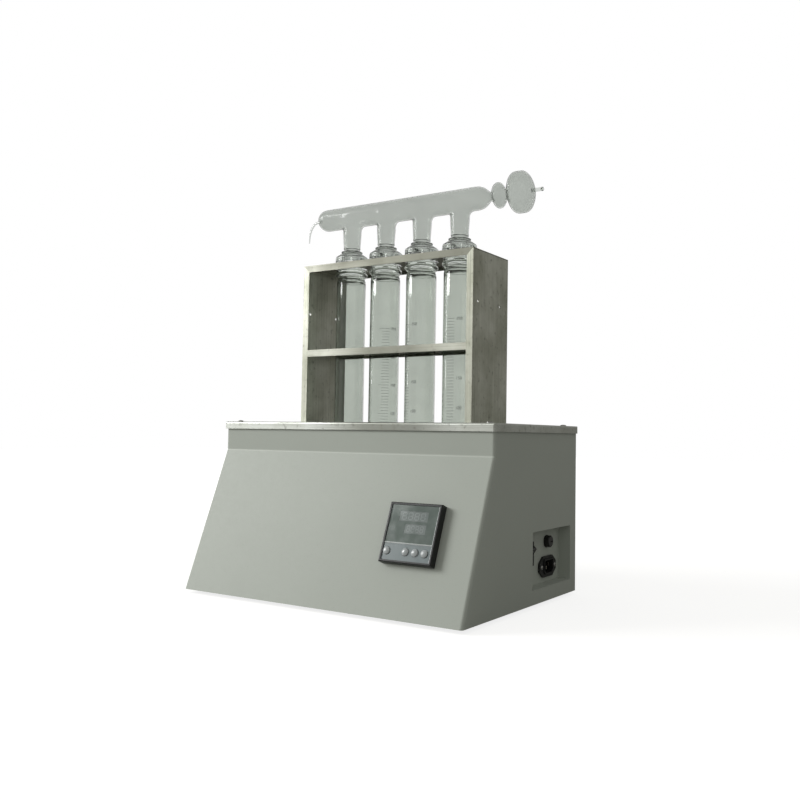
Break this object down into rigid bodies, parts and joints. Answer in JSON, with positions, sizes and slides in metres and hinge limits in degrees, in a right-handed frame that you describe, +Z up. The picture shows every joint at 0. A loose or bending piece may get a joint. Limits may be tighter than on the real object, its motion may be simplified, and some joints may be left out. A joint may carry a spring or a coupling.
{
  "type": "block digester",
  "caption": "Heated block in a sheet-metal base with a lift-out rack of glass digestion tubes, a glass exhaust manifold and a front temperature controller.",
  "frame": {"origin": "middle of the footprint, on the floor under the feet", "axes": "+X to the right seen from the front, +Y to the back, +Z up"},
  "size_m": [0.433, 0.3084, 0.5602],
  "materials": {
    "painted_housing": "satin powder coat, fine texture",
    "stainless": "brushed stainless sheet with faint heat stains",
    "plated_sheet": "zinc-plated sheet, dull",
    "screws": "bright plated steel",
    "glass": "clear borosilicate with a faint grey-green cast",
    "fuse_glass": "small glass cartridge with metal ends",
    "block": "machined",
    "heaters": "heat-tinted steel sheath",
    "insulation": "pressed mineral fibre board",
    "heat_sink": "dark anodised",
    "relay": "moulded",
    "black_plastic": "fine moulded grain",
    "gloss_black": "glossy moulding",
    "display_window": "smoked glossy window",
    "silver_panel": "silver film",
    "keys": "satin silver domes",
    "circuit_board": "solder-masked board",
    "pins": "nickel-plated brass",
    "rubber": "moulded rubber"
  },
  "bodies": {
    "base": {"housing_shell": "painted_housing", "back_panel": "painted_housing", "recess_pocket": "painted_housing", "top_plate": "stainless", "base_pan": "plated_sheet", "insulation_tray": "plated_sheet", "tray_pillars": "plated_sheet", "foot_screws": "screws", "pan_screws": "screws", "back_screws": "screws", "top_screws": "screws", "inlet_screws": "screws", "heating_block": "block", "heater_rods": "heaters", "temperature_probe": "heaters", "insulation_shell": "insulation", "insulation_lid": "insulation", "heat_sink": "heat_sink", "solid_state_relay": "relay", "terminal_block": "relay", "controller_case": "black_plastic", "controller_bezel": "black_plastic", "controller_clamps": "black_plastic", "switch_body": "black_plastic", "power_inlet": "black_plastic", "fuse_holder": "black_plastic", "fuse_nut": "black_plastic", "controller_lens": "display_window", "controller_keypanel": "silver_panel", "display_board": "circuit_board", "inlet_pins": "pins", "feet": "rubber"},
    "rack": {"rack_left_side": "stainless", "rack_right_side": "stainless", "rack_top": "stainless", "rack_shelf": "stainless"},
    "tubes": {"tube_1": "glass", "tube_2": "glass", "tube_3": "glass", "tube_4": "glass"},
    "manifold": {"manifold": "glass"},
    "key_set": {"key_set": "keys"},
    "key_shift": {"key_shift": "keys"},
    "key_down": {"key_down": "keys"},
    "key_up": {"key_up": "keys"},
    "rocker": {"switch_rocker": "gloss_black"},
    "fuse_carrier": {"fuse_carrier": "black_plastic", "fuse_cartridge": "fuse_glass"},
    "fuse_cap": {"fuse_cap": "gloss_black"}
  },
  "joints": [
    {"name": "rack_lift", "type": "slide", "parent": "base", "child": "rack", "axis": [0, 0, 1], "range_m": [0, 0.12]},
    {"name": "tubes_lift", "type": "slide", "parent": "rack", "child": "tubes", "axis": [0, 0, 1], "range_m": [0, 0.31]},
    {"name": "manifold_lift", "type": "slide", "parent": "tubes", "child": "manifold", "axis": [0, 0, 1], "range_m": [0, 0.08]},
    {"name": "key_set_press", "type": "slide", "parent": "base", "child": "key_set", "axis": [0, 0.9353, -0.3539], "range_m": [0, 0.0008], "stiffness_N_per_m": 600},
    {"name": "key_shift_press", "type": "slide", "parent": "base", "child": "key_shift", "axis": [0, 0.9353, -0.3539], "range_m": [0, 0.0008], "stiffness_N_per_m": 600},
    {"name": "key_down_press", "type": "slide", "parent": "base", "child": "key_down", "axis": [0, 0.9353, -0.3539], "range_m": [0, 0.0008], "stiffness_N_per_m": 600},
    {"name": "key_up_press", "type": "slide", "parent": "base", "child": "key_up", "axis": [0, 0.9353, -0.3539], "range_m": [0, 0.0008], "stiffness_N_per_m": 600},
    {"name": "rocker_tilt", "type": "hinge", "parent": "base", "child": "rocker", "pos_m": [0.194, 0.04025, 0.064], "axis": [0, 1, 0], "range_deg": [-32, 0]},
    {"name": "fuse_pull", "type": "slide", "parent": "base", "child": "fuse_carrier", "axis": [1, 0, 0], "range_m": [0, 0.032]},
    {"name": "fuse_cap_turn", "type": "hinge", "parent": "fuse_carrier", "child": "fuse_cap", "pos_m": [0.203, 0.09375, 0.076], "axis": [1, 0, 0], "range_deg": [-90, 0]}
  ]
}
